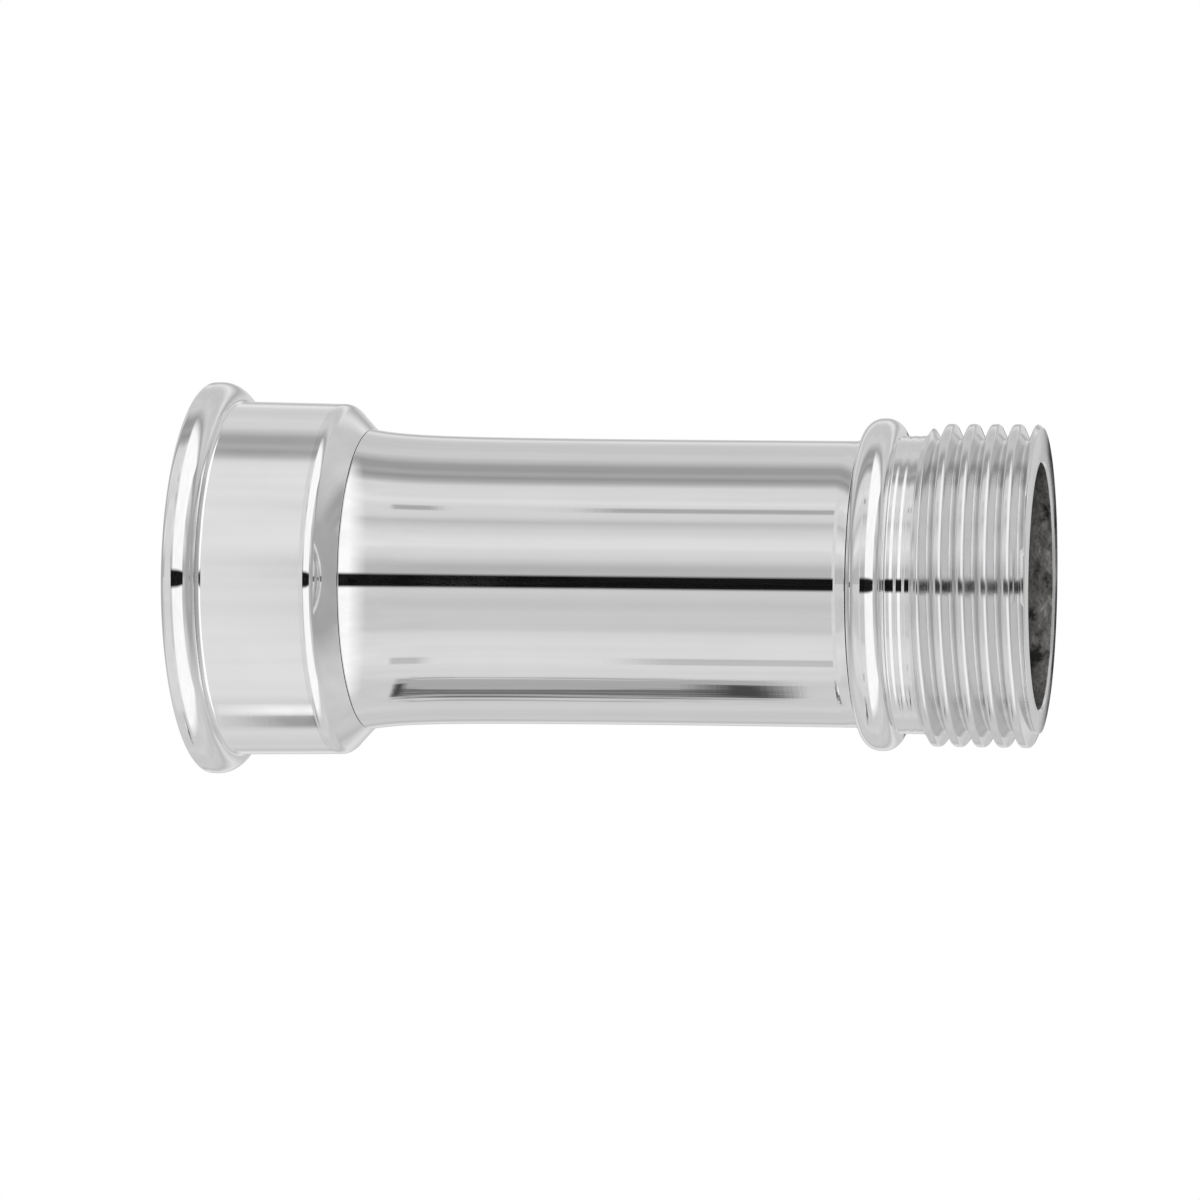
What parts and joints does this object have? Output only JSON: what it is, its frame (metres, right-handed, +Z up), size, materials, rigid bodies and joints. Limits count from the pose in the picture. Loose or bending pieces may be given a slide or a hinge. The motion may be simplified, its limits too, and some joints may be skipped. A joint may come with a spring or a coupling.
{
  "type": "hose tap outlet check valve",
  "caption": "Straight chromed outlet fitting for a garden hose tap: swivel nut inlet, long barrel with spring check valves inside, ring bead and male hose thread.",
  "frame": {"origin": "centre of the swivel nut's mouth face, on the fitting's axis", "axes": "+X along the axis in the direction of flow, from the inlet nut to the outlet thread; +Z up"},
  "size_m": [0.0699, 0.033, 0.033],
  "materials": {
    "chrome_plate": "polished chrome plate over brass",
    "stainless": "bright drawn stainless wire",
    "rubber": "matte black moulded rubber",
    "acetal": "natural white moulded acetal",
    "poppet_plastic": "blue moulded acetal"
  },
  "bodies": {
    "barrel_body": {"barrel": "chrome_plate", "outlet_nipple": "chrome_plate", "nipple_o_ring": "rubber", "retaining_ring": "stainless", "inlet_washer": "rubber", "inlet_screen": "stainless", "module_spacer": "acetal", "upstream_cage": "acetal", "upstream_o_ring": "rubber", "upstream_spring": "stainless", "upstream_guide": "acetal", "downstream_cage": "acetal", "downstream_o_ring": "rubber", "downstream_spring": "stainless", "downstream_guide": "acetal"},
    "nut_body": {"coupling_nut": "chrome_plate"},
    "upstream_poppet_body": {"upstream_poppet": "poppet_plastic", "upstream_seal": "rubber"},
    "downstream_poppet_body": {"downstream_poppet": "poppet_plastic", "downstream_seal": "rubber"}
  },
  "joints": [
    {"name": "nut_spin", "type": "hinge", "parent": "barrel_body", "child": "nut_body", "pos_m": [0.013, 0, 0], "axis": [1, 0, 0], "continuous": true},
    {"name": "upstream_check_slide", "type": "slide", "parent": "barrel_body", "child": "upstream_poppet_body", "axis": [1, 0, 0], "range_m": [0, 0.0032], "stiffness_N_per_m": 240, "springref_m": -0.0024, "deforming": ["upstream_spring"]},
    {"name": "downstream_check_slide", "type": "slide", "parent": "barrel_body", "child": "downstream_poppet_body", "axis": [1, 0, 0], "range_m": [0, 0.0032], "stiffness_N_per_m": 240, "springref_m": -0.0024, "deforming": ["downstream_spring"]}
  ]
}
